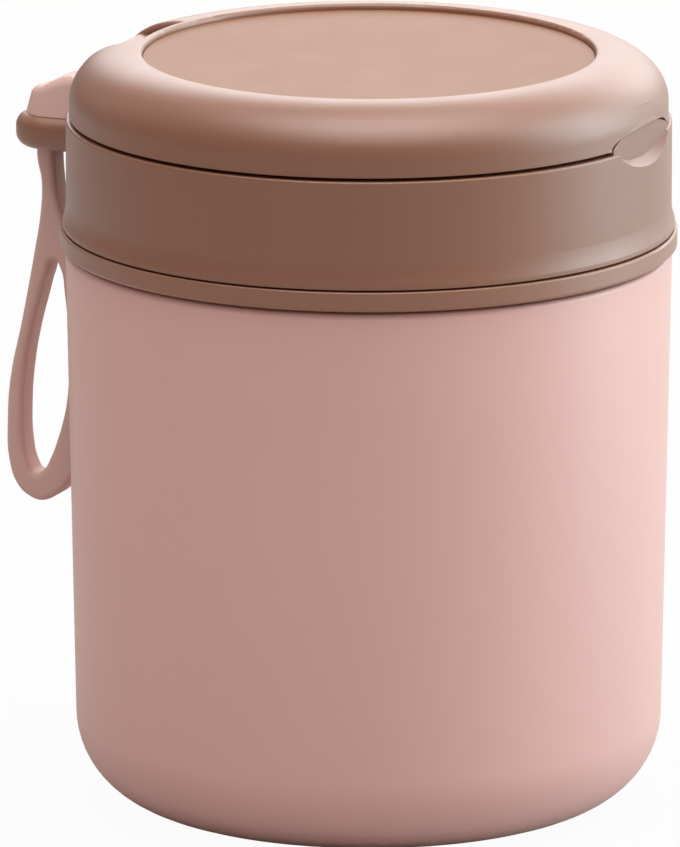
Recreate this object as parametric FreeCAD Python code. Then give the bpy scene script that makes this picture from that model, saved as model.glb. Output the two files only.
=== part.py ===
import FreeCAD, Part
import math
import os

from FreeCAD import Vector

# Insulated food jar with a screw lid, a flip cover over a spoon tray and a carry strap.
# Origin: centre of the base, on the jar's axis. +Z up, opening tab at -Y, hinge and strap at +Y.
# Millimetres.

# Steel body
body_top_radius = 52.1
body_taper = 1.5
bottom_round = 15.6
shoulder_height = 97.0
shoulder_round = 1.0
shell_wall = 0.6
recess_radius = 31.0
recess_depth = 1.0
base_wall = 0.6
base_pad_gap = 0.1
seal_hole_radius = 1.0
seal_pellet_radius = 2.6
seal_pellet_height = 0.9

# Steel liner and neck
neck_inset = 6.6
neck_height = 14.5
neck_wall = 2.0
liner_wall = 0.5
liner_floor = 8.0
liner_round = 10.0
getter_radius = 7.0
getter_height = 1.2

# Screw thread, right-handed
thread_pitch = 4.0
thread_height = 0.9
thread_base = 2.0
thread_crest = 1.0
thread_lift = 6.6
thread_turns = 1.25
thread_play = 0.4
thread_flank_gap = 0.35
thread_root_bite = 0.25
lid_thread_base = 1.6
lid_thread_crest = 0.8
lid_thread_from = 180.0
lid_thread_turns = 0.75

# Ring between the body and the lid
ring_proud = 0.9
ring_foot_inset = 0.7
ring_bore_gap = 0.7
ring_seam = 0.6
ring_height = 4.0
ring_edge_round = 0.35

# Lid
lid_gap = 0.3
lid_foot_height = 0.8
lid_flare = 1.0
lid_flare_height = 3.2
lid_edge_round = 0.15
lid_foot_inset = 0.4
collar_height = 18.5
collar_wall = 2.5
collar_edge_round = 0.4
ledge_width = 3.5
ledge_drop = 0.6
core_fit = 0.2
skirt_rise = 1.1
flange_height = 1.8
seal_height = 2.1
plug_gap = 0.9
plug_wall = 1.6
tray_depth = 7.2
tray_wall = 1.6
plate_wall = 1.6
plug_depth = 7.7
foam_gap = 0.2
seal_gap = 0.05
seal_radial_gap = 0.2
seal_overhang = 0.5
seal_bead = 0.5

# Vent plug in the tray floor
vent_place = -30.0
vent_bore = 3.0
vent_boss_wall = 1.6
vent_fit = 0.08
vent_head_radius = 5.6
vent_head_height = 2.2
vent_head_round = 0.8
vent_stem_length = 5.6

# Flip cover
cover_inset = 0.6
cover_seam = 0.6
cover_height = 11.1
cover_wall = 2.0
cover_roof = 1.6
shoulder_reach = 11.0
shoulder_rise = 8.5
inner_shoulder_reach = 9.0
inner_shoulder_rise = 4.9
rim_width = 1.55
disc_fit = 0.1
disc_sink = 1.0
disc_wall = 1.5
disc_dish = 0.5
rim_round = 0.7
cover_plate_gap = 0.5
cover_plate_wall = 1.4
cover_plate_lift = 0.6
cover_skirt_gap = 0.4
cover_skirt_wall = 1.6
cover_skirt_depth = 3.0
snap_width = 16.0
snap_height = 0.8
snap_proud = 0.25

# Opening tab, thumb scoop and the crest that fills the arch behind the tab
tab_half_width = 12.5
tab_arch = 2.7
tab_proud = 1.0
tab_curve = 34.0
tab_height = 6.1
tab_draw_in = 1.8
scoop_half_width = 11.6
scoop_drop = 3.8
scoop_depth = 1.8
scoop_ramp = 0.7
crest_gap = 0.3
crest_wall = 1.0

# Hinge
hinge_inset = 1.9
hinge_lift = 1.1
pin_radius = 1.0
pin_fit = 0.06
knuckle_radius = 2.2
knuckle_half = 4.9
knuckle_gap = 0.4
ear_width = 3.4
ear_bite = 1.8
notch_half = 9.2
notch_wall = 1.6
notch_depth = 2.8
notch_round = 0.9
notch_gap = 0.4
notch_rim = 1.05
arm_reach = 6.5
arm_drop = 1.0
arm_rise = 1.9

# Strap lug on the collar
lug_half = 7.0
lug_length = 13.7
lug_drop = 3.8
lug_height = 6.0
lug_round = 2.4
slot_fit = 0.15

# Carry strap
strap_width = 5.6
strap_thick = 3.2
strap_reach = 7.8
strap_pivot_drop = 1.9
strap_drop = 61.8
strap_pivot_gap = 0.15
head_half = 5.5
head_length = 10.2
head_place = 1.0
head_gap = 0.2
head_outer_rise = 3.8
head_inner_rise = 7.6
head_draft = 0.2
head_round = 1.8

# Folding spoon in the tray
spoon_offset = 8.0
spoon_pivot = -30.0
bowl_length = 42.0
bowl_width = 28.0
bowl_depth = 5.5
bowl_wall = 1.1
bowl_neck_length = 18.0
bowl_neck_width = 9.0
spoon_plate = 1.4
spoon_gap = 0.2
handle_length = 66.0
handle_width = 12.0
handle_wall = 2.0
spoon_pin_radius = 1.5
spoon_pin_fit = 0.05
spoon_pin_head = 2.6
spoon_pin_head_height = 0.5
spoon_rest_gap = 0.1

# Sizes that follow from the ones above: radii, from the body outwards and inwards
body_low_radius = body_top_radius - body_taper
neck_radius = body_top_radius - neck_inset
liner_inner_radius = neck_radius - neck_wall
liner_outer_radius = liner_inner_radius + liner_wall
crest_radius = neck_radius + thread_height
skirt_inner_radius = crest_radius + thread_play
ring_radius = body_top_radius + ring_proud
ring_foot_radius = body_top_radius - ring_foot_inset
collar_radius = ring_radius - lid_flare
collar_bore = collar_radius - collar_wall
core_radius = collar_bore - core_fit
ledge_bore = collar_bore - ledge_width
plug_radius = liner_inner_radius - plug_gap
tray_radius = plug_radius - plug_wall
seal_outer_radius = neck_radius + seal_overhang
cover_radius = collar_radius - cover_inset
disc_radius = cover_radius - shoulder_reach - rim_width
cover_plate_radius = cover_radius - cover_wall - cover_plate_gap
cover_skirt_radius = ledge_bore - cover_skirt_gap

# Heights, from the body upwards
neck_top = shoulder_height + neck_height
lip_height = neck_top - liner_wall
thread_start = shoulder_height + thread_lift
ring_top = shoulder_height + ring_height
collar_bottom = ring_top + lid_gap
collar_top = collar_bottom + collar_height
ledge_top = collar_top - ledge_drop
flange_bottom = neck_top + seal_height
flange_top = flange_bottom + flange_height
tray_floor = flange_top - tray_depth
foam_top = tray_floor - tray_wall
plate_top = tray_floor - plug_depth
plate_bottom = plate_top - plate_wall
cover_bottom = collar_top + cover_seam
cover_top = cover_bottom + cover_height
disc_top = cover_top - disc_sink
disc_seat = disc_top - disc_wall
roof_bottom = disc_seat - cover_roof
cover_plate_bottom = cover_bottom + cover_plate_lift
cover_plate_top = cover_plate_bottom + cover_plate_wall

# Hinge, lug and strap
hinge_place = cover_radius - hinge_inset
hinge_height = cover_bottom + hinge_lift
pin_length = 2 * (knuckle_half + knuckle_gap + ear_width)
notch_end = hinge_place - knuckle_radius - notch_gap
notch_ring = disc_radius + notch_rim
lug_reach = collar_radius + lug_length
lug_top = collar_top - lug_drop
lug_bottom = lug_top - lug_height
strap_place = collar_radius + strap_reach
strap_pivot_height = lug_bottom - strap_pivot_drop
head_start = collar_radius + head_place
head_reach = head_start + head_length
far = 200.0
tiny = 1e-4


# Shapes turned about the jar's axis, from a half section
def at(radius, height):
    return Vector(radius, 0, height)


def arc(centre_radius, centre_height, radius, from_angle, to_angle):
    ends = []
    for angle in ((from_angle + to_angle) / 2, to_angle):
        turn = math.radians(angle)
        ends.append((centre_radius + radius * math.cos(turn), centre_height + radius * math.sin(turn)))
    return tuple(ends)


def outline(start, moves):
    # A move is the end of a line, or the middle and the end of an arc
    edges = []
    here = at(*start)
    for move in moves:
        if isinstance(move[0], tuple):
            end = at(*move[1])
            edges.append(Part.Arc(here, at(*move[0]), end).toShape())
        else:
            end = at(*move)
            edges.append(Part.LineSegment(here, end).toShape())
        here = end
    edges.append(Part.LineSegment(here, at(*start)).toShape())
    return edges


def turned(start, *moves):
    face = Part.Face(Part.Wire(outline(start, moves)))
    return face.revolve(Vector(0, 0, 0), Vector(0, 0, 1), 360)


def tube(outer, inner, low, high):
    return turned((inner, low), (outer, low), (outer, high), (inner, high))


def disc(radius, low, high, x=0.0, y=0.0):
    return Part.makeCylinder(radius, high - low, Vector(x, y, low))


def block(x_low, x_high, y_low, y_high, z_low, z_high):
    return Part.makeBox(x_high - x_low, y_high - y_low, z_high - z_low, Vector(x_low, y_low, z_low))


def rod(radius, x_low, x_high, y, z):
    return Part.makeCylinder(radius, x_high - x_low, Vector(x_low, y, z), Vector(1, 0, 0))


def stadium(half_width, y_start, y_reach, height):
    # Outline of a bar along Y with a round outer end
    y_round = y_reach - half_width
    corners = [Vector(x, y, height) for x, y in (
        (half_width, y_round), (half_width, y_start), (-half_width, y_start), (-half_width, y_round))]
    end = Part.Arc(corners[3], Vector(0, y_reach, height), corners[0]).toShape()
    sides = [Part.LineSegment(a, b).toShape() for a, b in zip(corners, corners[1:])]
    return Part.Wire(sides + [end])


def quarter_ellipse(centre_radius, centre_height, reach, rise):
    # From its outermost point up to its top
    centre = at(centre_radius, centre_height)
    if reach >= rise:
        ellipse = Part.Ellipse(centre + Vector(reach, 0, 0), centre + Vector(0, 0, rise), centre)
        return Part.ArcOfEllipse(ellipse, 0, math.pi / 2).toShape()
    ellipse = Part.Ellipse(centre + Vector(0, 0, rise), centre + Vector(-reach, 0, 0), centre)
    return Part.ArcOfEllipse(ellipse, -math.pi / 2, 0).toShape()


def thread_ridge(root, crest, base_width, crest_width, height, angle, turns):
    bite = -thread_root_bite if crest > root else thread_root_bite
    helix = Part.makeHelix(thread_pitch, thread_pitch * turns, root)
    corners = [
        at(root + bite, -base_width / 2),
        at(crest, -crest_width / 2),
        at(crest, crest_width / 2),
        at(root + bite, base_width / 2),
    ]
    profile = Part.makePolygon(corners + corners[:1])
    ridge = Part.Wire(helix.Edges).makePipeShell([profile], True, True)
    ridge.rotate(Vector(0, 0, 0), Vector(0, 0, 1), angle)
    ridge.translate(Vector(0, 0, height))
    return ridge


# Steel body: outer shell, liner, base and what keeps the vacuum
def body_form(inset):
    wall_angle = -math.degrees(math.atan((body_top_radius - body_low_radius) / shoulder_height))
    centre = body_low_radius - bottom_round
    top = neck_top - liner_wall + (inset and shell_wall)
    return turned(
        (0, inset),
        (centre, inset),
        arc(centre, bottom_round, bottom_round - inset, -90, wall_angle),
        (body_top_radius - inset, shoulder_height - shoulder_round),
        arc(body_top_radius - shoulder_round, shoulder_height - shoulder_round,
            shoulder_round - inset, 0, 90),
        (neck_radius - inset, shoulder_height - inset),
        (neck_radius - inset, top),
        (0, top),
    )


def outer_shell():
    shell = body_form(0).cut(body_form(shell_wall))
    shell = shell.cut(disc(recess_radius, -1, shell_wall + 1))
    turn_up = tube(recess_radius + shell_wall, recess_radius, 0, recess_depth + base_wall)
    ridge = thread_ridge(neck_radius, crest_radius, thread_base, thread_crest,
                         thread_start, 0, thread_turns)
    return shell.fuse([turn_up, ridge])


def inner_liner():
    corner = liner_inner_radius - liner_round
    low = liner_floor - liner_wall
    return turned(
        (0, low),
        (corner, low),
        arc(corner, liner_floor + liner_round, liner_round + liner_wall, -90, 0),
        (liner_outer_radius, lip_height),
        (neck_radius, lip_height),
        (neck_radius, neck_top),
        (liner_inner_radius, neck_top),
        (liner_inner_radius, liner_floor + liner_round),
        arc(corner, liner_floor + liner_round, liner_round, 0, -90),
        (0, liner_floor),
    )


def shell_base():
    plate = disc(recess_radius, recess_depth, recess_depth + base_wall)
    return plate.cut(disc(seal_hole_radius, 0, far))


def base_pad():
    return disc(recess_radius - base_pad_gap, 0, recess_depth - base_pad_gap)


def vacuum_seal():
    low = recess_depth + base_wall
    return turned((0, low), (seal_pellet_radius, low),
                  (seal_pellet_radius / 2, low + seal_pellet_height), (0, low + seal_pellet_height))


def vacuum_getter():
    top = liner_floor - liner_wall
    return disc(getter_radius, top - getter_height, top)


def neck_ring():
    bore = neck_radius + ring_bore_gap
    return turned(
        (bore, shoulder_height),
        (ring_foot_radius - shoulder_round, shoulder_height),
        (ring_foot_radius - shoulder_round, shoulder_height + ring_seam),
        (ring_radius - shoulder_round / 2, shoulder_height + ring_seam),
        (ring_radius, shoulder_height + ring_seam + shoulder_round / 2),
        (ring_radius, ring_top - ring_edge_round),
        arc(ring_radius - ring_edge_round, ring_top - ring_edge_round, ring_edge_round, 0, 90),
        (bore, ring_top),
    )


# Lid: collar with lug, hinge ears and thumb scoop, and the core that screws on
def elliptic_cut(half_width, height, centre_height, y_start, travel):
    centre = Vector(0, y_start, centre_height)
    ellipse = Part.Ellipse(centre + Vector(half_width, 0, 0), centre + Vector(0, 0, height), centre)
    return Part.Face(Part.Wire(ellipse.toShape())).extrude(travel)


def collar_ring():
    flare_start = collar_bottom + lid_foot_height
    straight = flare_start + lid_flare_height
    foot_radius = ring_radius - lid_foot_inset
    flare = foot_radius - collar_radius
    middle = (collar_radius + flare * 0.3, (flare_start + straight) / 2 - flare * 0.2)
    edge = collar_edge_round
    return turned(
        (collar_bore, collar_bottom),
        (foot_radius - lid_edge_round, collar_bottom),
        arc(foot_radius - lid_edge_round, collar_bottom + lid_edge_round, lid_edge_round, -90, 0),
        (foot_radius, flare_start),
        (middle, (collar_radius, straight)),
        (collar_radius, collar_top - edge),
        arc(collar_radius - edge, collar_top - edge, edge, 0, 90),
        (collar_bore, collar_top),
        (collar_bore, ledge_top),
        (ledge_bore, ledge_top),
        (ledge_bore, flange_top),
        (collar_bore, flange_top),
    )


def hinge_ear(side):
    inner = knuckle_half + knuckle_gap
    low, high = sorted((side * inner, side * (inner + ear_width)))
    barrel = rod(knuckle_radius, low, high, hinge_place, hinge_height)
    foot = block(low, high, hinge_place - knuckle_radius, hinge_place + knuckle_radius / 2,
                 collar_top - ear_bite, hinge_height)
    return barrel.fuse(foot)


def strap_lug():
    foot = Part.Face(stadium(lug_half, collar_bore + collar_wall / 2, lug_reach, lug_bottom))
    lug = foot.extrude(Vector(0, 0, lug_height))
    rims = [edge for edge in lug.Edges
            if edge.BoundBox.ZLength < tiny and edge.BoundBox.YMax > collar_radius]
    return lug.makeFillet(lug_round, rims)


def scoop_floor():
    return -(collar_radius - scoop_depth)


def arch_crest():
    # Stands in the cover's arch, flush with the scoop's floor
    half = tab_half_width - crest_gap
    inward = Vector(0, crest_wall, 0)
    top = elliptic_cut(half, tab_arch, cover_bottom - crest_gap, scoop_floor(), inward)
    root = block(-half, half, scoop_floor(), scoop_floor() + crest_wall,
                 collar_top - crest_wall, cover_bottom - crest_gap)
    return top.fuse(root)


def collar():
    body = collar_ring().fuse([strap_lug(), hinge_ear(-1), hinge_ear(1)])
    swing_room = rod(knuckle_radius + knuckle_gap, -knuckle_half - knuckle_gap,
                     knuckle_half + knuckle_gap, hinge_place, hinge_height)
    pin_bore = rod(pin_radius, -pin_length / 2, pin_length / 2, hinge_place, hinge_height)
    outside = scoop_depth * 2
    inward = Vector(0, outside, outside * scoop_ramp)
    scoop = elliptic_cut(scoop_half_width, scoop_drop, collar_top - outside * scoop_ramp / 2,
                         scoop_floor() - outside, inward)
    slot_half = strap_width / 2 + slot_fit
    slot_reach = strap_thick / 2 + slot_fit
    slot = block(-slot_half, slot_half, strap_place - slot_reach, strap_place + slot_reach, 0, far)
    return body.cut([swing_room, pin_bore, scoop, slot]).fuse(arch_crest())


def lid_core():
    skirt_bottom = collar_bottom + skirt_rise
    core = turned(
        (0, foam_top),
        (tray_radius, foam_top),
        (tray_radius, plate_top),
        (plug_radius, plate_top),
        (plug_radius, flange_bottom),
        (skirt_inner_radius, flange_bottom),
        (skirt_inner_radius, skirt_bottom),
        (core_radius, skirt_bottom),
        (core_radius, flange_top),
        (tray_radius, flange_top),
        (tray_radius, tray_floor),
        (0, tray_floor),
    )
    boss = disc(vent_bore + vent_boss_wall, plate_top, foam_top, 0, vent_place)
    rise = thread_pitch * lid_thread_from / 360
    drop = thread_base / 2 + lid_thread_base / 2 - thread_flank_gap
    ridge = thread_ridge(skirt_inner_radius, neck_radius + thread_play, lid_thread_base,
                         lid_thread_crest, thread_start + rise - drop, lid_thread_from,
                         lid_thread_turns)
    return core.fuse([boss, ridge]).cut(disc(vent_bore, 0, far, 0, vent_place))


def lid_gasket():
    low = neck_top + seal_gap
    high = flange_bottom - seal_gap
    inner = plug_radius + seal_radial_gap
    middle = (inner + seal_outer_radius) / 2
    return turned(
        (inner, low + seal_bead),
        (middle - seal_bead * 2, low + seal_bead),
        (middle - seal_bead, low),
        (middle + seal_bead, low),
        (middle + seal_bead * 2, low + seal_bead),
        (seal_outer_radius, low + seal_bead),
        (seal_outer_radius, high),
        (inner, high),
    )


def insulation_foam():
    foam = disc(tray_radius - foam_gap, plate_top + foam_gap, foam_top - foam_gap)
    return foam.cut(disc(vent_bore + vent_boss_wall + foam_gap, 0, far, 0, vent_place))


def lid_underplate():
    plate = turned(
        (0, plate_bottom),
        (plug_radius - plate_wall, plate_bottom),
        arc(plug_radius - plate_wall, plate_top, plate_wall, -90, 0),
        (0, plate_top),
    )
    return plate.cut(disc(vent_bore, 0, far, 0, vent_place))


def vent_plug():
    top = tray_floor + vent_head_height
    plug = turned(
        (0, tray_floor - vent_stem_length),
        (vent_bore - vent_fit - vent_head_round, tray_floor - vent_stem_length),
        (vent_bore - vent_fit, tray_floor - vent_stem_length + vent_head_round),
        (vent_bore - vent_fit, tray_floor),
        (vent_head_radius, tray_floor),
        (vent_head_radius, top - vent_head_round),
        arc(vent_head_radius - vent_head_round, top - vent_head_round, vent_head_round, 0, 90),
        (0, top),
    )
    plug.translate(Vector(0, vent_place, 0))
    return plug


# Flip cover: shell with the tab and the hinge arm, sunk disc, inner plate
def cover_form():
    centre = cover_radius - shoulder_reach
    side_top = cover_top - shoulder_rise
    edges = outline((0, cover_bottom), [(cover_radius, cover_bottom), (cover_radius, side_top)])[:-1]
    edges.append(quarter_ellipse(centre, side_top, shoulder_reach, shoulder_rise))
    edges += outline((centre, cover_top), [(0, cover_top), (0, cover_bottom)])[:-1]
    return Part.Face(Part.Wire(edges)).revolve(Vector(0, 0, 0), Vector(0, 0, 1), 360)


def cover_hollow():
    inner_radius = cover_radius - cover_wall
    centre = inner_radius - inner_shoulder_reach
    side_top = roof_bottom - inner_shoulder_rise
    low = cover_bottom - 1
    edges = outline((0, low), [(inner_radius, low), (inner_radius, side_top)])[:-1]
    edges.append(quarter_ellipse(centre, side_top, inner_shoulder_reach, inner_shoulder_rise))
    edges += outline((centre, roof_bottom), [(0, roof_bottom), (0, low)])[:-1]
    return Part.Face(Part.Wire(edges)).revolve(Vector(0, 0, 0), Vector(0, 0, 1), 360)


def disc_well():
    return turned(
        (0, disc_seat),
        (disc_radius, disc_seat),
        (disc_radius, cover_top - rim_round),
        arc(disc_radius + rim_round, cover_top - rim_round, rim_round, 180, 90),
        (disc_radius + rim_round, far),
        (0, far),
    )


def opening_tab():
    reach = cover_radius + tab_proud - tab_curve
    lip = Part.makeCone(tab_curve, tab_curve - tab_draw_in, tab_height, Vector(0, -reach, cover_bottom))
    return lip.common(block(-far, far, -far, -cover_radius + 2 * cover_wall + 2, 0, far))


def notch_cut():
    # Level pocket in the shoulder, and the open space behind it where the hinge stands
    pocket = block(-notch_half, notch_half, 0, far, cover_top - notch_depth, far)
    back = block(-notch_half, notch_half, notch_end, far, 0, far)
    return pocket.cut(disc(notch_ring, 0, 2 * far)).fuse(back)


def notch_brims(shell, outside):
    # Edges where the notch's side walls meet the cover's outside
    brims = []
    for edge in shell.Edges:
        middle = edge.valueAt((edge.FirstParameter + edge.LastParameter) / 2)
        in_wall = edge.BoundBox.XLength < tiny and abs(abs(middle.x) - notch_half) < tiny
        if in_wall and middle.z > cover_bottom + tiny and outside.distToShape(Part.Vertex(middle))[0] < tiny:
            brims.append(edge)
    return brims


def cover_shell():
    form = cover_form()
    backing = block(-notch_half - notch_wall, notch_half + notch_wall, notch_ring - notch_wall, far,
                    cover_plate_top + knuckle_gap / 2, far).common(form)
    shell = form.fuse(opening_tab()).cut(cover_hollow()).fuse(backing)
    shell = shell.cut([disc_well(), notch_cut()])
    arch_depth = Vector(0, 2 * cover_wall + 2 * tab_proud, 0)
    arch = elliptic_cut(tab_half_width, tab_arch, cover_bottom,
                        -cover_radius - 2 * tab_proud, arch_depth)
    arm = block(-knuckle_half, knuckle_half, hinge_place - arm_reach, hinge_place,
                hinge_height - arm_drop, hinge_height + arm_rise)
    knuckle = rod(knuckle_radius, -knuckle_half, knuckle_half, hinge_place, hinge_height)
    bore = rod(pin_radius + pin_fit, -notch_half, notch_half, hinge_place, hinge_height)
    shell = shell.cut(arch).fuse([arm, knuckle]).cut(bore).removeSplitter()
    return shell.makeFillet(notch_round, notch_brims(shell, form.Shells[0]))


def cover_disc():
    radius = disc_radius - disc_fit
    dish_radius = (radius ** 2 + disc_dish ** 2) / (2 * disc_dish)
    centre = Vector(0, 0, disc_top - disc_dish + dish_radius)
    dish = Part.makeSphere(dish_radius, centre, Vector(1, 0, 0))
    return disc(radius, disc_seat, disc_top).cut(dish)


def cover_plate():
    low = cover_bottom - cover_skirt_depth + cover_plate_lift
    skirt_inner = cover_skirt_radius - cover_skirt_wall
    plate = turned(
        (0, cover_plate_bottom),
        (skirt_inner, cover_plate_bottom),
        (skirt_inner, low),
        (cover_skirt_radius, low),
        (cover_skirt_radius, cover_plate_bottom),
        (cover_plate_radius, cover_plate_bottom),
        (cover_plate_radius, cover_plate_top),
        (0, cover_plate_top),
    )
    snap_radius = cover_skirt_radius + snap_proud
    snap = tube(snap_radius, skirt_inner, low, low + snap_height)
    snap = snap.common(block(-snap_width / 2, snap_width / 2, -far, 0, 0, far))
    arm_room = block(-notch_half - notch_wall, notch_half + notch_wall,
                     hinge_place - arm_reach - knuckle_gap, far, 0, far)
    return plate.fuse(snap).cut(arm_room)


def hinge_pin():
    return rod(pin_radius, -pin_length / 2, pin_length / 2, hinge_place, hinge_height)


# Carry strap: head and neck in the lug, and the loop below it
def strap_head():
    low = lug_top + head_gap
    height = head_inner_rise + head_half
    shrink = head_draft * height
    foot = stadium(head_half, head_start, head_reach, low)
    peak = stadium(head_half - shrink, head_start, head_reach - shrink, low + height)
    head = Part.makeLoft([foot, peak], True, True)
    fall = (head_inner_rise - head_outer_rise) / head_length
    back, front = head_start - head_half, head_reach + head_half
    high = lug_top + head_inner_rise + fall * head_half
    ends = [(back, high), (front, high - fall * (front - back))]
    corners = [Vector(x, y, z) for x, (y, z) in (
        (-far, ends[0]), (far, ends[0]), (far, ends[1]), (-far, ends[1]))]
    slope = Part.Face(Part.makePolygon(corners + corners[:1])).extrude(Vector(0, 0, far))
    head = head.cut(slope)
    crown = [edge for edge in head.Edges if edge.BoundBox.ZMin > lug_top + head_outer_rise - head_gap]
    head = head.makeFillet(head_round, crown)
    neck_bottom = strap_pivot_height + strap_thick / 2 + strap_pivot_gap
    neck = block(-strap_width / 2, strap_width / 2, strap_place - strap_thick / 2,
                 strap_place + strap_thick / 2, neck_bottom, low + head_gap)
    return head.fuse(neck)


# Loop outlines, as (shares of the strap's thickness, shares of its drop) from the pivot
loop_outside = [
    (0.5, 0), (0.3, 0.065), (0.25, 0.131), (0.62, 0.25), (1.31, 0.42), (2.1, 0.62), (2.41, 0.78),
    (2.13, 0.916), (1.19, 0.98), (0.06, 1), (-1.22, 0.976), (-2, 0.892), (-2.25, 0.746),
    (-2.19, 0.584), (-1.75, 0.422), (-1, 0.244), (-0.7, 0.131), (-0.5, 0),
]
loop_inside = [
    (-0.12, 0.316), (0.34, 0.422), (1.03, 0.608), (1.38, 0.778), (1.12, 0.892), (0.06, 0.947),
    (-0.94, 0.898), (-1.25, 0.746), (-1.19, 0.584), (-0.75, 0.422),
]


def loop_points(shares):
    return [Vector(0, strap_place + across * strap_thick, strap_pivot_height - down * strap_drop)
            for across, down in shares]


def strap_loop():
    outer_points = loop_points(loop_outside)
    spline = Part.BSplineCurve()
    spline.interpolate(outer_points)
    crown = Vector(0, strap_place, strap_pivot_height + strap_thick / 2)
    top = Part.Arc(outer_points[-1], crown, outer_points[0])
    hole = Part.BSplineCurve()
    hole.interpolate(loop_points(loop_inside), PeriodicFlag=True)
    width = Vector(strap_width, 0, 0)
    band = Part.Face(Part.Wire([spline.toShape(), top.toShape()])).extrude(width)
    gap = Part.Face(Part.Wire([hole.toShape()])).extrude(width)
    loop = band.cut(gap)
    loop.translate(Vector(-strap_width / 2, 0, 0))
    return loop


# Folding spoon
def ellipsoid(length, width, depth, centre):
    ball = Part.makeSphere(1.0)
    stretch = FreeCAD.Matrix()
    stretch.scale(length / 2, width / 2, depth)
    ball = ball.transformGeometry(stretch)
    ball.translate(centre)
    return ball


def spoon_levels():
    rim = tray_floor + spoon_rest_gap + bowl_depth
    handle_low = rim + spoon_gap
    return rim, handle_low


def rounded_bar(x_low, x_high, width, low, high):
    half = width / 2
    bar = block(x_low, x_high, spoon_offset - half, spoon_offset + half, low, high)
    ends = [disc(half, low, high, x_low, spoon_offset), disc(half, low, high, x_high, spoon_offset)]
    return bar.fuse(ends).removeSplitter()


def spoon_bowl():
    rim, _ = spoon_levels()
    bowl_start = spoon_pivot + bowl_neck_length - bowl_neck_width / 2
    centre = Vector(bowl_start + bowl_length / 2, spoon_offset, rim)
    outer = ellipsoid(bowl_length, bowl_width, bowl_depth, centre)
    inner = ellipsoid(bowl_length - 2 * bowl_wall, bowl_width - 2 * bowl_wall,
                      bowl_depth - bowl_wall, centre)
    neck = rounded_bar(spoon_pivot, bowl_start + bowl_wall, bowl_neck_width, rim - spoon_plate, rim)
    above = block(-far, far, -far, far, rim, far)
    hole = disc(spoon_pin_radius + spoon_pin_fit, 0, far, spoon_pivot, spoon_offset)
    return outer.fuse(neck).cut([inner, above, hole])


def spoon_handle():
    _, low = spoon_levels()
    half = handle_width / 2
    bar = rounded_bar(spoon_pivot, spoon_pivot + handle_length - half, handle_width,
                      low, low + handle_wall)
    hole = disc(spoon_pin_radius + spoon_pin_fit, 0, far, spoon_pivot, spoon_offset)
    return bar.cut(hole)


def spoon_pin():
    rim, handle_low = spoon_levels()
    low = rim - spoon_plate
    high = handle_low + handle_wall
    pin = disc(spoon_pin_radius, low, high, spoon_pivot, spoon_offset)
    heads = [
        disc(spoon_pin_head, low - spoon_pin_head_height, low, spoon_pivot, spoon_offset),
        disc(spoon_pin_head, high, high + spoon_pin_head_height, spoon_pivot, spoon_offset),
    ]
    return pin.fuse(heads)


pieces = (
    outer_shell, inner_liner, shell_base, base_pad, vacuum_seal, vacuum_getter, neck_ring,
    collar, lid_core, lid_gasket, insulation_foam, lid_underplate, vent_plug,
    cover_shell, cover_disc, cover_plate, hinge_pin,
    strap_head, strap_loop,
    spoon_bowl, spoon_handle, spoon_pin,
)

os.makedirs("parts", exist_ok=True)
for make in pieces:
    shape = make()
    solids = shape.Solids
    if len(solids) == 1:
        shape = solids[0]
    print(make.__name__, "solids", len(solids), "valid", shape.isValid(), "volume", round(shape.Volume, 1))
    shape.exportStep("parts/" + make.__name__ + ".step")
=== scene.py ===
import math

import bmesh
import bpy
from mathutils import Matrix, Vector


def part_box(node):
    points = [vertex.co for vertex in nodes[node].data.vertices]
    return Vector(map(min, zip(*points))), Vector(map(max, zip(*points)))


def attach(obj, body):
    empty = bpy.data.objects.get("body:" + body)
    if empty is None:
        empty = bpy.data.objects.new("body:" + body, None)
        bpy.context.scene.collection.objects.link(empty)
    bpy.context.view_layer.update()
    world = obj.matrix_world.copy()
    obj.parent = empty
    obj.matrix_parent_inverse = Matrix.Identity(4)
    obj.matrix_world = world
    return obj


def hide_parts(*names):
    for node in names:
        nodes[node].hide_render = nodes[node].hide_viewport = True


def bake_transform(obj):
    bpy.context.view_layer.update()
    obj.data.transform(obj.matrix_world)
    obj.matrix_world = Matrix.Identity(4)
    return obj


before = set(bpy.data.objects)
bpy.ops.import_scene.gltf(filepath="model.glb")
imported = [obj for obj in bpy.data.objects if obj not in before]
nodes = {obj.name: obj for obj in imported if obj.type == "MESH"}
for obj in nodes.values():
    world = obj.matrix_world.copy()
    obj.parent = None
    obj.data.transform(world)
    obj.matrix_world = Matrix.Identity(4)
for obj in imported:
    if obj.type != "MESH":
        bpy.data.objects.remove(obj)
bpy.context.view_layer.update()
mm = 0.001
print("frame loaded,", len(nodes), "nodes")


# Materials: every pattern reads Object coordinates, so it stays put when the jar is turned

def newMaterial(name):
    material = bpy.data.materials.new(name)
    material.use_nodes = True
    tree = material.node_tree
    shader = tree.nodes["Principled BSDF"]
    place = tree.nodes.new("ShaderNodeTexCoord")
    return material, tree, shader, place


surface = {
    "noiseLow": 0.3,
    "noiseHigh": 0.7,
    "toneLow": 0.35,
    "toneHigh": 0.65,
    "toneDetail": 4.0,
    "glossDetail": 5.0,
    "grainDetail": 2.0,
    "glossFiner": 5,
    "swellFiner": 7,
    "swellDeeper": 3,
    "coatRoughness": 0.5,
    "edgeSamples": 8,
    "softEdge": 0.25 * mm,
}


def noiseNode(tree, place, scale, detail, stretch=(1, 1, 1)):
    mapping = tree.nodes.new("ShaderNodeMapping")
    mapping.inputs["Scale"].default_value = stretch
    noise = tree.nodes.new("ShaderNodeTexNoise")
    noise.inputs["Scale"].default_value = scale
    noise.inputs["Detail"].default_value = detail
    tree.links.new(place.outputs["Object"], mapping.inputs["Vector"])
    tree.links.new(mapping.outputs["Vector"], noise.inputs["Vector"])
    return noise


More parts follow.
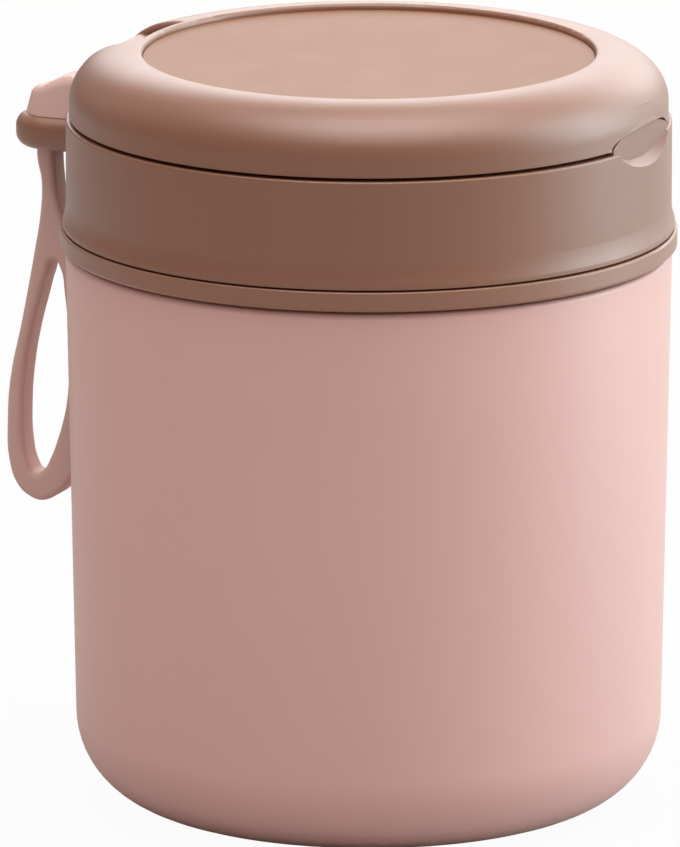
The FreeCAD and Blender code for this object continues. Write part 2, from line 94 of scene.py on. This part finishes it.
def rampNode(tree, source, stops):
    ramp = tree.nodes.new("ShaderNodeValToRGB")
    ramp.color_ramp.elements[0].position = stops[0][0]
    ramp.color_ramp.elements[0].color = (*stops[0][1], 1)
    ramp.color_ramp.elements[1].position = stops[1][0]
    ramp.color_ramp.elements[1].color = (*stops[1][1], 1)
    tree.links.new(source, ramp.inputs["Fac"])
    return ramp


def rangeNode(tree, source, low, high):
    spread = tree.nodes.new("ShaderNodeMapRange")
    spread.inputs["From Min"].default_value = surface["noiseLow"]
    spread.inputs["From Max"].default_value = surface["noiseHigh"]
    spread.inputs["To Min"].default_value = low
    spread.inputs["To Max"].default_value = high
    tree.links.new(source, spread.inputs["Value"])
    return spread


def softEdgeNode(tree, radius):
    # Edges catch the light as if rounded by this radius
    edge = tree.nodes.new("ShaderNodeBevel")
    edge.samples = surface["edgeSamples"]
    edge.inputs["Radius"].default_value = radius
    return edge


def bumpNode(tree, source, depth, normal=None):
    bump = tree.nodes.new("ShaderNodeBump")
    bump.inputs["Strength"].default_value = 1.0
    bump.inputs["Distance"].default_value = depth
    tree.links.new(source, bump.inputs["Height"])
    if normal is not None:
        tree.links.new(normal, bump.inputs["Normal"])
    return bump


def linear(red, green, blue):
    # A screen colour, 0 to 255, as the light it stands for
    return tuple((c / 255 / 12.92) if c / 255 <= 0.04045 else ((c / 255 + 0.055) / 1.055) ** 2.4
                 for c in (red, green, blue))


def shade(colour, factor):
    return tuple(min(1.0, c * factor) for c in colour)


def moulded(name, colour, rough=(0.38, 0.48), grain=2600.0, grainDepth=4e-6, drift=0.035,
            cloud=22.0, coat=0.0, specular=0.5):
    # Plastic, silicone or paint: a slow drift of tone, uneven gloss and a fine grain
    material, tree, shader, place = newMaterial(name)
    slow = noiseNode(tree, place, cloud, surface["toneDetail"])
    ramp = rampNode(tree, slow.outputs["Fac"],
                    [(surface["toneLow"], shade(colour, 1 - drift)),
                     (surface["toneHigh"], shade(colour, 1 + drift))])
    tree.links.new(ramp.outputs["Color"], shader.inputs["Base Color"])
    gloss = noiseNode(tree, place, cloud * surface["glossFiner"], surface["glossDetail"])
    spread = rangeNode(tree, gloss.outputs["Fac"], *rough)
    tree.links.new(spread.outputs["Result"], shader.inputs["Roughness"])
    fine = noiseNode(tree, place, grain, surface["grainDetail"])
    swell = noiseNode(tree, place, cloud * surface["swellFiner"], surface["grainDetail"])
    soft = softEdgeNode(tree, surface["softEdge"])
    low = bumpNode(tree, swell.outputs["Fac"], grainDepth * surface["swellDeeper"],
                   soft.outputs["Normal"])
    top = bumpNode(tree, fine.outputs["Fac"], grainDepth, low.outputs["Normal"])
    tree.links.new(top.outputs["Normal"], shader.inputs["Normal"])
    shader.inputs["Coat Weight"].default_value = coat
    shader.inputs["Coat Roughness"].default_value = surface["coatRoughness"]
    shader.inputs["Specular IOR Level"].default_value = specular
    return material


def brushedSteel(name, colour, stretch, rough=(0.22, 0.34), lineScale=900.0, lineDepth=3e-6,
                 darker=0.9, lighter=1.05):
    # The lines run along the axis with the smallest stretch
    material, tree, shader, place = newMaterial(name)
    lines = noiseNode(tree, place, lineScale, surface["toneDetail"], stretch)
    ramp = rampNode(tree, lines.outputs["Fac"],
                    [(surface["noiseLow"], shade(colour, darker)),
                     (surface["noiseHigh"], shade(colour, lighter))])
    tree.links.new(ramp.outputs["Color"], shader.inputs["Base Color"])
    spread = rangeNode(tree, lines.outputs["Fac"], *rough)
    tree.links.new(spread.outputs["Result"], shader.inputs["Roughness"])
    bump = bumpNode(tree, lines.outputs["Fac"], lineDepth)
    tree.links.new(bump.outputs["Normal"], shader.inputs["Normal"])
    shader.inputs["Metallic"].default_value = 1.0
    return material


def milkySilicone(name, colour, depthShare=0.25, reach=(0.004, 0.003, 0.002), reachScale=0.5):
    # Light goes a little way into the silicone
    material = moulded(name, colour, rough=(0.35, 0.5), grain=1800.0, drift=0.02)
    shader = material.node_tree.nodes["Principled BSDF"]
    shader.inputs["Subsurface Weight"].default_value = depthShare
    shader.inputs["Subsurface Radius"].default_value = reach
    shader.inputs["Subsurface Scale"].default_value = reachScale
    return material


def openFoam(name, colour, cellScale=1400.0, cellDepth=1.5e-4, pit=0.8, matt=0.9):
    material, tree, shader, place = newMaterial(name)
    cells = tree.nodes.new("ShaderNodeTexVoronoi")
    cells.inputs["Scale"].default_value = cellScale
    tree.links.new(place.outputs["Object"], cells.inputs["Vector"])
    ramp = rampNode(tree, cells.outputs["Distance"], [(0.0, shade(colour, pit)), (0.5, colour)])
    tree.links.new(ramp.outputs["Color"], shader.inputs["Base Color"])
    bump = bumpNode(tree, cells.outputs["Distance"], cellDepth)
    tree.links.new(bump.outputs["Normal"], shader.inputs["Normal"])
    shader.inputs["Roughness"].default_value = matt
    return material


finishes = {
    "paint": moulded("bodyPaint", (0.68, 0.415, 0.380), rough=(0.42, 0.46), grain=1500.0,
                     grainDepth=5e-6, drift=0.012, coat=0.6),
    "lid": moulded("lidPlastic", (0.240, 0.085, 0.036), rough=(0.46, 0.50), drift=0.02, coat=1.0,
                   specular=1.0),
    "ring": moulded("ringPlastic", (0.262, 0.098, 0.046), rough=(0.40, 0.48), drift=0.02, coat=1.0,
                    specular=1.0),
    "disc": moulded("discPlastic", (0.248, 0.109, 0.056), rough=(0.51, 0.55), drift=0.01,
                    grainDepth=2e-6),
    "core": moulded("corePlastic", (0.42, 0.26, 0.19), rough=(0.42, 0.52), drift=0.02),
    "strap": moulded("strapSilicone", (0.60, 0.40, 0.36), rough=(0.50, 0.60), grain=1900.0,
                     grainDepth=6e-6, drift=0.03),
    "seal": milkySilicone("sealSilicone", linear(226, 221, 214)),
    "linerSteel": brushedSteel("linerSteel", linear(196, 194, 190), (0.15, 0.15, 1.0)),
    "discSteel": brushedSteel("discSteel", linear(190, 188, 185), (1.0, 1.0, 0.2)),
    "pinSteel": brushedSteel("pinSteel", linear(200, 199, 197), (0.1, 1.0, 1.0), (0.15, 0.25)),
    "spoonSteel": brushedSteel("spoonSteel", linear(206, 204, 200), (0.12, 1.0, 1.0), (0.14, 0.24)),
    "spoon": moulded("spoonPlastic", linear(214, 176, 170), rough=(0.34, 0.44), drift=0.02),
    "foam": openFoam("liningFoam", linear(236, 232, 222)),
}

nodeFinish = {
    "outer_shell": "paint", "neck_ring": "ring", "collar": "lid", "cover_shell": "lid",
    "cover_disc": "disc", "cover_plate": "core", "lid_core": "core", "lid_underplate": "core",
    "strap_head": "strap", "strap_loop": "strap", "lid_gasket": "seal", "vent_plug": "seal",
    "base_pad": "seal", "inner_liner": "linerSteel", "shell_base": "discSteel",
    "vacuum_getter": "discSteel", "vacuum_seal": "discSteel", "hinge_pin": "pinSteel",
    "spoon_bowl": "spoonSteel", "spoon_pin": "pinSteel", "spoon_handle": "spoon",
    "insulation_foam": "foam",
}

for nodeName, finish in nodeFinish.items():
    for slot in nodes[nodeName].material_slots:
        slot.material = finishes[finish]
print("materials made,", len(finishes))


# Shared mesh work

weld = 0.001 * mm


def finishMesh(piece, sharpAngle):
    # Merges doubles, points the faces out and shades smooth up to an angle
    work = bmesh.new()
    work.from_mesh(piece.data)
    bmesh.ops.remove_doubles(work, verts=work.verts, dist=weld)
    bmesh.ops.recalc_face_normals(work, faces=work.faces)
    work.to_mesh(piece.data)
    work.free()
    piece.data.polygons.foreach_set("use_smooth", [True] * len(piece.data.polygons))
    piece.data.set_sharp_from_angle(angle=math.radians(sharpAngle))
    return piece


def settled(piece):
    # The piece with its modifiers turned into a plain mesh
    bpy.context.view_layer.update()
    graph = bpy.context.evaluated_depsgraph_get()
    mesh = bpy.data.meshes.new_from_object(piece.evaluated_get(graph), depsgraph=graph)
    mesh.name = piece.name
    if piece.type == "MESH":
        piece.modifiers.clear()
        piece.data = mesh
        return piece
    made = bpy.data.objects.new(piece.name + "Mesh", mesh)
    bpy.context.scene.collection.objects.link(made)
    name = piece.name
    bpy.data.objects.remove(piece)
    made.name = name
    return made


# Carry strap: one moulded band with rounded edges. Its outline and the gap of its loop are points
# (y, z) in millimetres seen from the side, joined by smooth curves

strap = {
    "width": 5.6 * mm,
    "edgeRound": 1.15 * mm,
    "roundSteps": 6,
    "outline": [
        (61.4, 116.0), (61.4, 112.0), (61.5, 108.1), (60.7, 103.8), (60.9, 98.5), (62.1, 91.3),
        (64.6, 78.6), (66.8, 68.4), (67.4, 60.6), (67.1, 53.6), (65.6, 49.4), (63.5, 47.5),
        (61.1, 46.8), (58.3, 47.9), (55.8, 50.2), (53.8, 53.6), (52.9, 60.0), (52.8, 68.0),
        (52.8, 76.0), (53.1, 84.0), (54.3, 91.0), (56.4, 97.5), (57.6, 101.5), (58.0, 104.8),
        (58.2, 108.1), (58.2, 112.0), (58.2, 116.0),
    ],
    "gap": [
        (58.3, 89.9), (59.7, 87.2), (60.9, 83.1), (62.4, 77.6), (63.7, 70.8), (64.3, 63.6),
        (64.1, 56.8), (63.3, 53.4), (62.0, 51.7), (60.5, 52.4), (59.2, 54.6), (57.8, 58.2),
        (56.7, 61.9), (56.0, 65.5), (55.7, 70.7), (55.8, 77.0), (56.4, 84.2), (57.2, 88.6),
    ],
    "curveSteps": 8,
    "sharpAngle": 40.0,
    "bendFrom": 109.8 * mm,
    "bendTo": 104.6 * mm,
}


def strapCurve(points, curve):
    spline = curve.splines.new("BEZIER")
    spline.bezier_points.add(len(points) - 1)
    for point, (y, z) in zip(spline.bezier_points, points):
        point.co = (y * mm, z * mm, 0)
        point.handle_left_type = "AUTO"
        point.handle_right_type = "AUTO"
    spline.use_cyclic_u = True
    spline.resolution_u = strap["curveSteps"]


def makeStrap():
    curve = bpy.data.curves.new("strapBand", "CURVE")
    curve.dimensions = "2D"
    curve.fill_mode = "BOTH"
    curve.offset = -strap["edgeRound"]
    curve.extrude = strap["width"] / 2 - strap["edgeRound"]
    curve.bevel_depth = strap["edgeRound"]
    curve.bevel_resolution = strap["roundSteps"]
    strapCurve(strap["outline"], curve)
    strapCurve(strap["gap"], curve)
    band = bpy.data.objects.new("strapBand", curve)
    bpy.context.scene.collection.objects.link(band)
    band = settled(band)
    # The band is drawn lying down, so it is stood up
    for vertex in band.data.vertices:
        y, z, x = vertex.co
        vertex.co = (x, y, z)
    band.data.materials.clear()
    band.data.materials.append(finishes["strap"])
    return finishMesh(band, strap["sharpAngle"])


band = makeStrap()
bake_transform(band)
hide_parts("strap_loop")
print("strap made")


# Strap head: a drafted dome over the lug that climbs in a soft curve towards the hinge

head = {
    "solidRise": 7.45 * mm,
    "half": 5.45 * mm,
    "grow": 0.7 * mm,
    "seatInset": 0.9 * mm,
    "seatRise": 0.55 * mm,
    "outerRise": 5.2 * mm,
    "innerRise": 7.6 * mm,
    "draft": 0.26,
    "round": 1.9 * mm,
    "sideSteps": 16,
    "endSteps": 32,
    "wallSteps": 6,
    "roundSteps": 10,
    "topSteps": 6,
    "topShare": 0.985,
    "sharpAngle": 50.0,
}


def headRim(start, reach, half):
    # Each rim point as its place on the middle line and the way out from there
    centre = reach - half
    count = head["sideSteps"]
    side = [start + (centre - start) * i / count for i in range(count)]
    ends = [math.pi * i / head["endSteps"] for i in range(head["endSteps"] + 1)]
    rim = [(y, 1.0, 0.0) for y in side]
    rim += [(centre, math.cos(a), math.sin(a)) for a in ends]
    rim += [(y, -1.0, 0.0) for y in reversed(side)]
    return rim + [(start, -1 + 2 * i / count, 0.0) for i in range(1, count)]


def headProfile(height):
    # From the seat up the leaning wall and over the rounding: inward, upward, rounded share
    lean = math.atan(head["draft"])
    low, bend = head["seatRise"], head["round"]
    wallTop = height - bend * (1 - math.sin(lean))
    points = [(head["seatInset"], 0.0, 0.0), (head["seatInset"], low, 0.0)]
    for i in range(head["wallSteps"] + 1):
        share = i / head["wallSteps"]
        points.append((head["draft"] * (wallTop - low) * share, low + (wallTop - low) * share, 0.0))
    middle = head["draft"] * (wallTop - low) + bend * math.cos(lean)
    for i in range(1, head["roundSteps"] + 1):
        turn = lean + (math.pi / 2 - lean) * i / head["roundSteps"]
        points.append((middle - bend * math.cos(turn), height - bend + bend * math.sin(turn),
                       i / head["roundSteps"]))
    left = head["half"] * head["topShare"] - middle
    for i in range(1, head["topSteps"] + 1):
        points.append((middle + left * i / head["topSteps"], height, 1.0))
    return points


def makeHead():
    low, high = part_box("strap_head")
    lugTop = high.z - head["solidRise"]
    start, reach, half = low.y, high.y + head["grow"], head["half"]
    centre = reach - half

    def topRise(y):
        # Falls from the hinge's side to the lug's end in an S
        share = min(1.0, max(0.0, (y - start) / (reach - start)))
        ease = share * share * (3 - 2 * share)
        return head["innerRise"] + (head["outerRise"] - head["innerRise"]) * ease

    rim = headRim(start, reach, half)
    profiles = [headProfile(topRise(y + out * half)) for y, across, out in rim]
    work = bmesh.new()
    loops = []
    for level in range(len(profiles[0])):
        loop = []
        for (y, across, out), profile in zip(rim, profiles):
            inward, upward, rounded = profile[level]
            width = half - inward
            pull = head["round"] * rounded * (1 - (y - start) / (centre - start))
            loop.append(work.verts.new((across * width, y + out * width + pull, lugTop + upward)))
        loops.append(loop)
    for lower, upper in zip(loops, loops[1:]):
        for i in range(len(lower)):
            j = (i + 1) % len(lower)
            work.faces.new((lower[i], lower[j], upper[j], upper[i]))
    work.faces.new(loops[-1])
    work.faces.new(list(reversed(loops[0])))
    mesh = bpy.data.meshes.new("strapDome")
    work.to_mesh(mesh)
    work.free()
    dome = bpy.data.objects.new("strapDome", mesh)
    bpy.context.scene.collection.objects.link(dome)
    dome.data.materials.append(finishes["strap"])
    return finishMesh(dome, head["sharpAngle"])


dome = makeHead()
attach(dome, "lid")
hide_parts("strap_head")
print("strap head made")


# Steel body: the section of its painted wall turned round, and the thread on its neck

jar = {
    "topRadius": 52.1 * mm,
    "lowRadius": 50.6 * mm,
    "bottomRound": 15.6 * mm,
    "shoulderHeight": 97.0 * mm,
    "shoulderRound": 1.0 * mm,
    "neckRadius": 45.5 * mm,
    "neckTop": 111.0 * mm,
    "recessRadius": 31.0 * mm,
    "wall": 0.6 * mm,
    "turnSteps": 224,
    "roundSteps": 16,
    "threadStart": 103.6 * mm,
    "threadPitch": 4.0 * mm,
    "threadTurns": 1.25,
    "threadHeight": 0.9 * mm,
    "threadBase": 2.0 * mm,
    "threadCrest": 1.0 * mm,
    "threadSteps": 96,
    "sharpAngle": 35.0,
}


def arcPoints(centreRadius, centreHeight, radius, fromAngle, toAngle, steps):
    turns = [math.radians(fromAngle + (toAngle - fromAngle) * i / steps) for i in range(steps + 1)]
    return [(centreRadius + radius * math.cos(t), centreHeight + radius * math.sin(t)) for t in turns]


def jarSkin(inset):
    # Radius and height from the foot's recess round the bottom to the top of the neck
    lean = -math.degrees(math.atan((jar["topRadius"] - jar["lowRadius"]) / jar["shoulderHeight"]))
    bottom = jar["lowRadius"] - jar["bottomRound"]
    shoulder = jar["topRadius"] - jar["shoulderRound"]
    rise = jar["shoulderHeight"] - jar["shoulderRound"]
    points = [(jar["recessRadius"], inset)]
    points += arcPoints(bottom, jar["bottomRound"], jar["bottomRound"] - inset, -90, lean,
                        jar["roundSteps"])
    points += arcPoints(shoulder, rise, jar["shoulderRound"] - inset, 0, 90, jar["roundSteps"] // 2)
    points += [(jar["neckRadius"] - inset, jar["shoulderHeight"] - inset)]
    return points + [(jar["neckRadius"] - inset, jar["neckTop"])]


def turningTree():
    tree = bpy.data.node_groups.new("turnedForm", "GeometryNodeTree")
    face = tree.interface
    face.new_socket("Section", in_out="INPUT", socket_type="NodeSocketGeometry")
    face.new_socket("Path Radius", in_out="INPUT", socket_type="NodeSocketFloat")
    face.new_socket("Turn Steps", in_out="INPUT", socket_type="NodeSocketInt")
    face.new_socket("Finish", in_out="INPUT", socket_type="NodeSocketMaterial")
    face.new_socket("Form", in_out="OUTPUT", socket_type="NodeSocketGeometry")
    given = tree.nodes.new("NodeGroupInput")
    result = tree.nodes.new("NodeGroupOutput")
    section = tree.nodes.new("GeometryNodeMeshToCurve")
    circle = tree.nodes.new("GeometryNodeCurvePrimitiveCircle")
    sweep = tree.nodes.new("GeometryNodeCurveToMesh")
    real = tree.nodes.new("GeometryNodeRealizeInstances")
    paint = tree.nodes.new("GeometryNodeSetMaterial")
    links = tree.links
    links.new(given.outputs["Section"], section.inputs["Mesh"])
    links.new(given.outputs["Path Radius"], circle.inputs["Radius"])
    links.new(given.outputs["Turn Steps"], circle.inputs["Resolution"])
    links.new(circle.outputs["Curve"], sweep.inputs["Curve"])
    links.new(section.outputs["Curve"], sweep.inputs["Profile Curve"])
    links.new(sweep.outputs["Mesh"], real.inputs["Geometry"])
    links.new(real.outputs["Geometry"], paint.inputs["Geometry"])
    links.new(given.outputs["Finish"], paint.inputs["Material"])
    links.new(paint.outputs["Geometry"], result.inputs["Form"])
    return tree


def turnedForm(name, points, steps, finish, tree):
    # Across the section is the way out from the path circle, and down is the jar's up
    pathRadius = points[0][0]
    mesh = bpy.data.meshes.new(name)
    count = len(points)
    mesh.from_pydata([(r - pathRadius, -z, 0) for r, z in points],
                     [(i, (i + 1) % count) for i in range(count)], [])
    form = bpy.data.objects.new(name, mesh)
    bpy.context.scene.collection.objects.link(form)
    turn = form.modifiers.new("turn", "NODES")
    turn.node_group = tree
    values = {"Path Radius": pathRadius, "Turn Steps": steps, "Finish": finish}
    for item in tree.interface.items_tree:
        if item.name in values:
            turn[item.identifier] = values[item.name]
    return settled(form)


def threadRidge():
    # The trapezoid of the thread carried up its helix, with both ends closed
    reach = jar["neckRadius"] + jar["threadHeight"]
    root = jar["neckRadius"] - jar["wall"] / 2
    corners = [(root, -jar["threadBase"] / 2), (reach, -jar["threadCrest"] / 2),
               (reach, jar["threadCrest"] / 2), (root, jar["threadBase"] / 2)]
    work = bmesh.new()
    loops = []
    for i in range(jar["threadSteps"] + 1):
        turns = jar["threadTurns"] * i / jar["threadSteps"]
        angle = 2 * math.pi * turns
        level = jar["threadStart"] + jar["threadPitch"] * turns
        loops.append([work.verts.new((r * math.cos(angle), r * math.sin(angle), level + z))
                      for r, z in corners])
    for lower, upper in zip(loops, loops[1:]):
        for i in range(4):
            j = (i + 1) % 4
            work.faces.new((lower[i], lower[j], upper[j], upper[i]))
    work.faces.new(loops[0])
    work.faces.new(loops[-1])
    bmesh.ops.recalc_face_normals(work, faces=work.faces)
    return work


def makeJar():
    skin = jarSkin(0) + list(reversed(jarSkin(jar["wall"])))
    shell = turnedForm("jarShell", skin, jar["turnSteps"], finishes["paint"], turningTree())
    ridge = threadRidge()
    ridge.from_mesh(shell.data)
    ridge.to_mesh(shell.data)
    ridge.free()
    return finishMesh(shell, jar["sharpAngle"])


shell = makeJar()
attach(shell, "jar")
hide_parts("outer_shell")
print("jar shell made")


# Floor, light and camera, placed as the photograph was taken

studio = {
    "azimuth": -67.0,
    "elevation": 13.46,
    "distance": 2.5,
    "lookHeight": 65.8 * mm,
    "sideStep": 4.95 * mm,
    "lens": 616.6,
    "farthest": 50,
    "lampTarget": 70 * mm,
    "floorSize": 12,
    "floorRoughness": 0.9,
    "ambient": 0.60,
    "ambientTint": (1.0, 0.87, 0.81),
    "mirrored": 0.2,
    "floorTone": 0.44,
    "floorTint": (1.0, 0.94, 0.90),
    "floorGlow": 0.955,
}


def fromAround(azimuth, elevation, distance, height=0.0):
    # Azimuth 0 is the front, at -y, and it grows towards +x
    a, e = math.radians(azimuth), math.radians(elevation)
    away = Vector((math.sin(a) * math.cos(e), -math.cos(a) * math.cos(e), math.sin(e)))
    return away * distance + Vector((0, 0, height))


def makeFloor():
    # In view the floor is nearly white, yet it keeps the jar's shadow
    bpy.ops.mesh.primitive_plane_add(size=studio["floorSize"])
    floor = bpy.context.object
    floor.name = "floor"
    material = bpy.data.materials.new("paleFloor")
    material.use_nodes = True
    tree = material.node_tree
    diffuse = tree.nodes["Principled BSDF"]
    diffuse.inputs["Base Color"].default_value = (*shade(studio["floorTint"], studio["floorTone"]), 1)
    diffuse.inputs["Roughness"].default_value = studio["floorRoughness"]
    glow = tree.nodes.new("ShaderNodeEmission")
    path = tree.nodes.new("ShaderNodeLightPath")
    share = tree.nodes.new("ShaderNodeMath")
    share.operation = "MULTIPLY"
    share.inputs[1].default_value = studio["floorGlow"]
    mix = tree.nodes.new("ShaderNodeMixShader")
    tree.links.new(path.outputs["Is Camera Ray"], share.inputs[0])
    tree.links.new(share.outputs["Value"], mix.inputs["Fac"])
    tree.links.new(diffuse.outputs["BSDF"], mix.inputs[1])
    tree.links.new(glow.outputs["Emission"], mix.inputs[2])
    tree.links.new(mix.outputs["Shader"], tree.nodes["Material Output"].inputs["Surface"])
    floor.data.materials.append(material)


def makeWorld():
    # Even warm light, dimmer where a surface mirrors it, and white behind the jar
    world = bpy.data.worlds.new("studioAir")
    bpy.context.scene.world = world
    world.use_nodes = True
    tree = world.node_tree
    air = tree.nodes["Background"]
    air.inputs["Color"].default_value = (*studio["ambientTint"], 1)
    air.inputs["Strength"].default_value = studio["ambient"]
    dim = tree.nodes.new("ShaderNodeBackground")
    dim.inputs["Color"].default_value = (*studio["ambientTint"], 1)
    dim.inputs["Strength"].default_value = studio["mirrored"]
    white = tree.nodes.new("ShaderNodeBackground")
    path = tree.nodes.new("ShaderNodeLightPath")
    inGloss = tree.nodes.new("ShaderNodeMixShader")
    inView = tree.nodes.new("ShaderNodeMixShader")
    tree.links.new(path.outputs["Is Glossy Ray"], inGloss.inputs["Fac"])
    tree.links.new(air.outputs["Background"], inGloss.inputs[1])
    tree.links.new(dim.outputs["Background"], inGloss.inputs[2])
    tree.links.new(path.outputs["Is Camera Ray"], inView.inputs["Fac"])
    tree.links.new(inGloss.outputs["Shader"], inView.inputs[1])
    tree.links.new(white.outputs["Background"], inView.inputs[2])
    tree.links.new(inView.outputs["Shader"], tree.nodes["World Output"].inputs["Surface"])


def softbox(name, azimuth, elevation, distance, size, power, colour):
    light = bpy.data.lights.new(name, "AREA")
    light.shape = "RECTANGLE"
    light.size, light.size_y = size
    light.energy = power
    light.color = colour
    lamp = bpy.data.objects.new(name, light)
    bpy.context.scene.collection.objects.link(lamp)
    target = Vector((0, 0, studio["lampTarget"]))
    lamp.location = fromAround(azimuth, elevation, distance, target.z)
    lamp.rotation_euler = (target - lamp.location).to_track_quat("-Z", "Y").to_euler()


# Name, azimuth from the camera, elevation, distance, size in metres, power and colour
lamps = [
    ("keyBox", 96.0, 18.0, 0.9, (0.6, 1.0), 8.2, (0.80, 0.97, 1.0)),
    ("rimBox", 140.0, 14.0, 1.0, (0.5, 1.0), 1.6, (0.86, 0.97, 1.0)),
    ("leftBox", -128.0, 30.0, 1.1, (0.5, 0.8), 0.5, (1.0, 0.97, 0.94)),
    ("topBox", 20.0, 82.0, 0.9, (0.8, 0.8), 7.0, (1.0, 0.97, 0.94)),
    ("backBox", 170.0, 26.0, 1.1, (1.1, 0.6), 6.0, (1.0, 1.0, 1.0)),
]


def makeCamera():
    data = bpy.data.cameras.new("photoCamera")
    data.lens = studio["lens"]
    camera = bpy.data.objects.new("photoCamera", data)
    bpy.context.scene.collection.objects.link(camera)
    a = math.radians(studio["azimuth"])
    right = Vector((math.cos(a), math.sin(a), 0))
    target = Vector((0, 0, studio["lookHeight"])) - right * studio["sideStep"]
    back = fromAround(studio["azimuth"], studio["elevation"], studio["distance"])
    camera.location = target + back
    camera.rotation_euler = (-back).to_track_quat("-Z", "Y").to_euler()
    data.clip_end = studio["farthest"]
    bpy.context.scene.camera = camera


makeFloor()
makeWorld()
for name, turn, rise, away, size, power, colour in lamps:
    softbox(name, studio["azimuth"] + turn, rise, away, size, power, colour)
makeCamera()
bpy.context.scene.view_settings.view_transform = "Standard"
print("studio made")

bpy.context.view_layer.update()
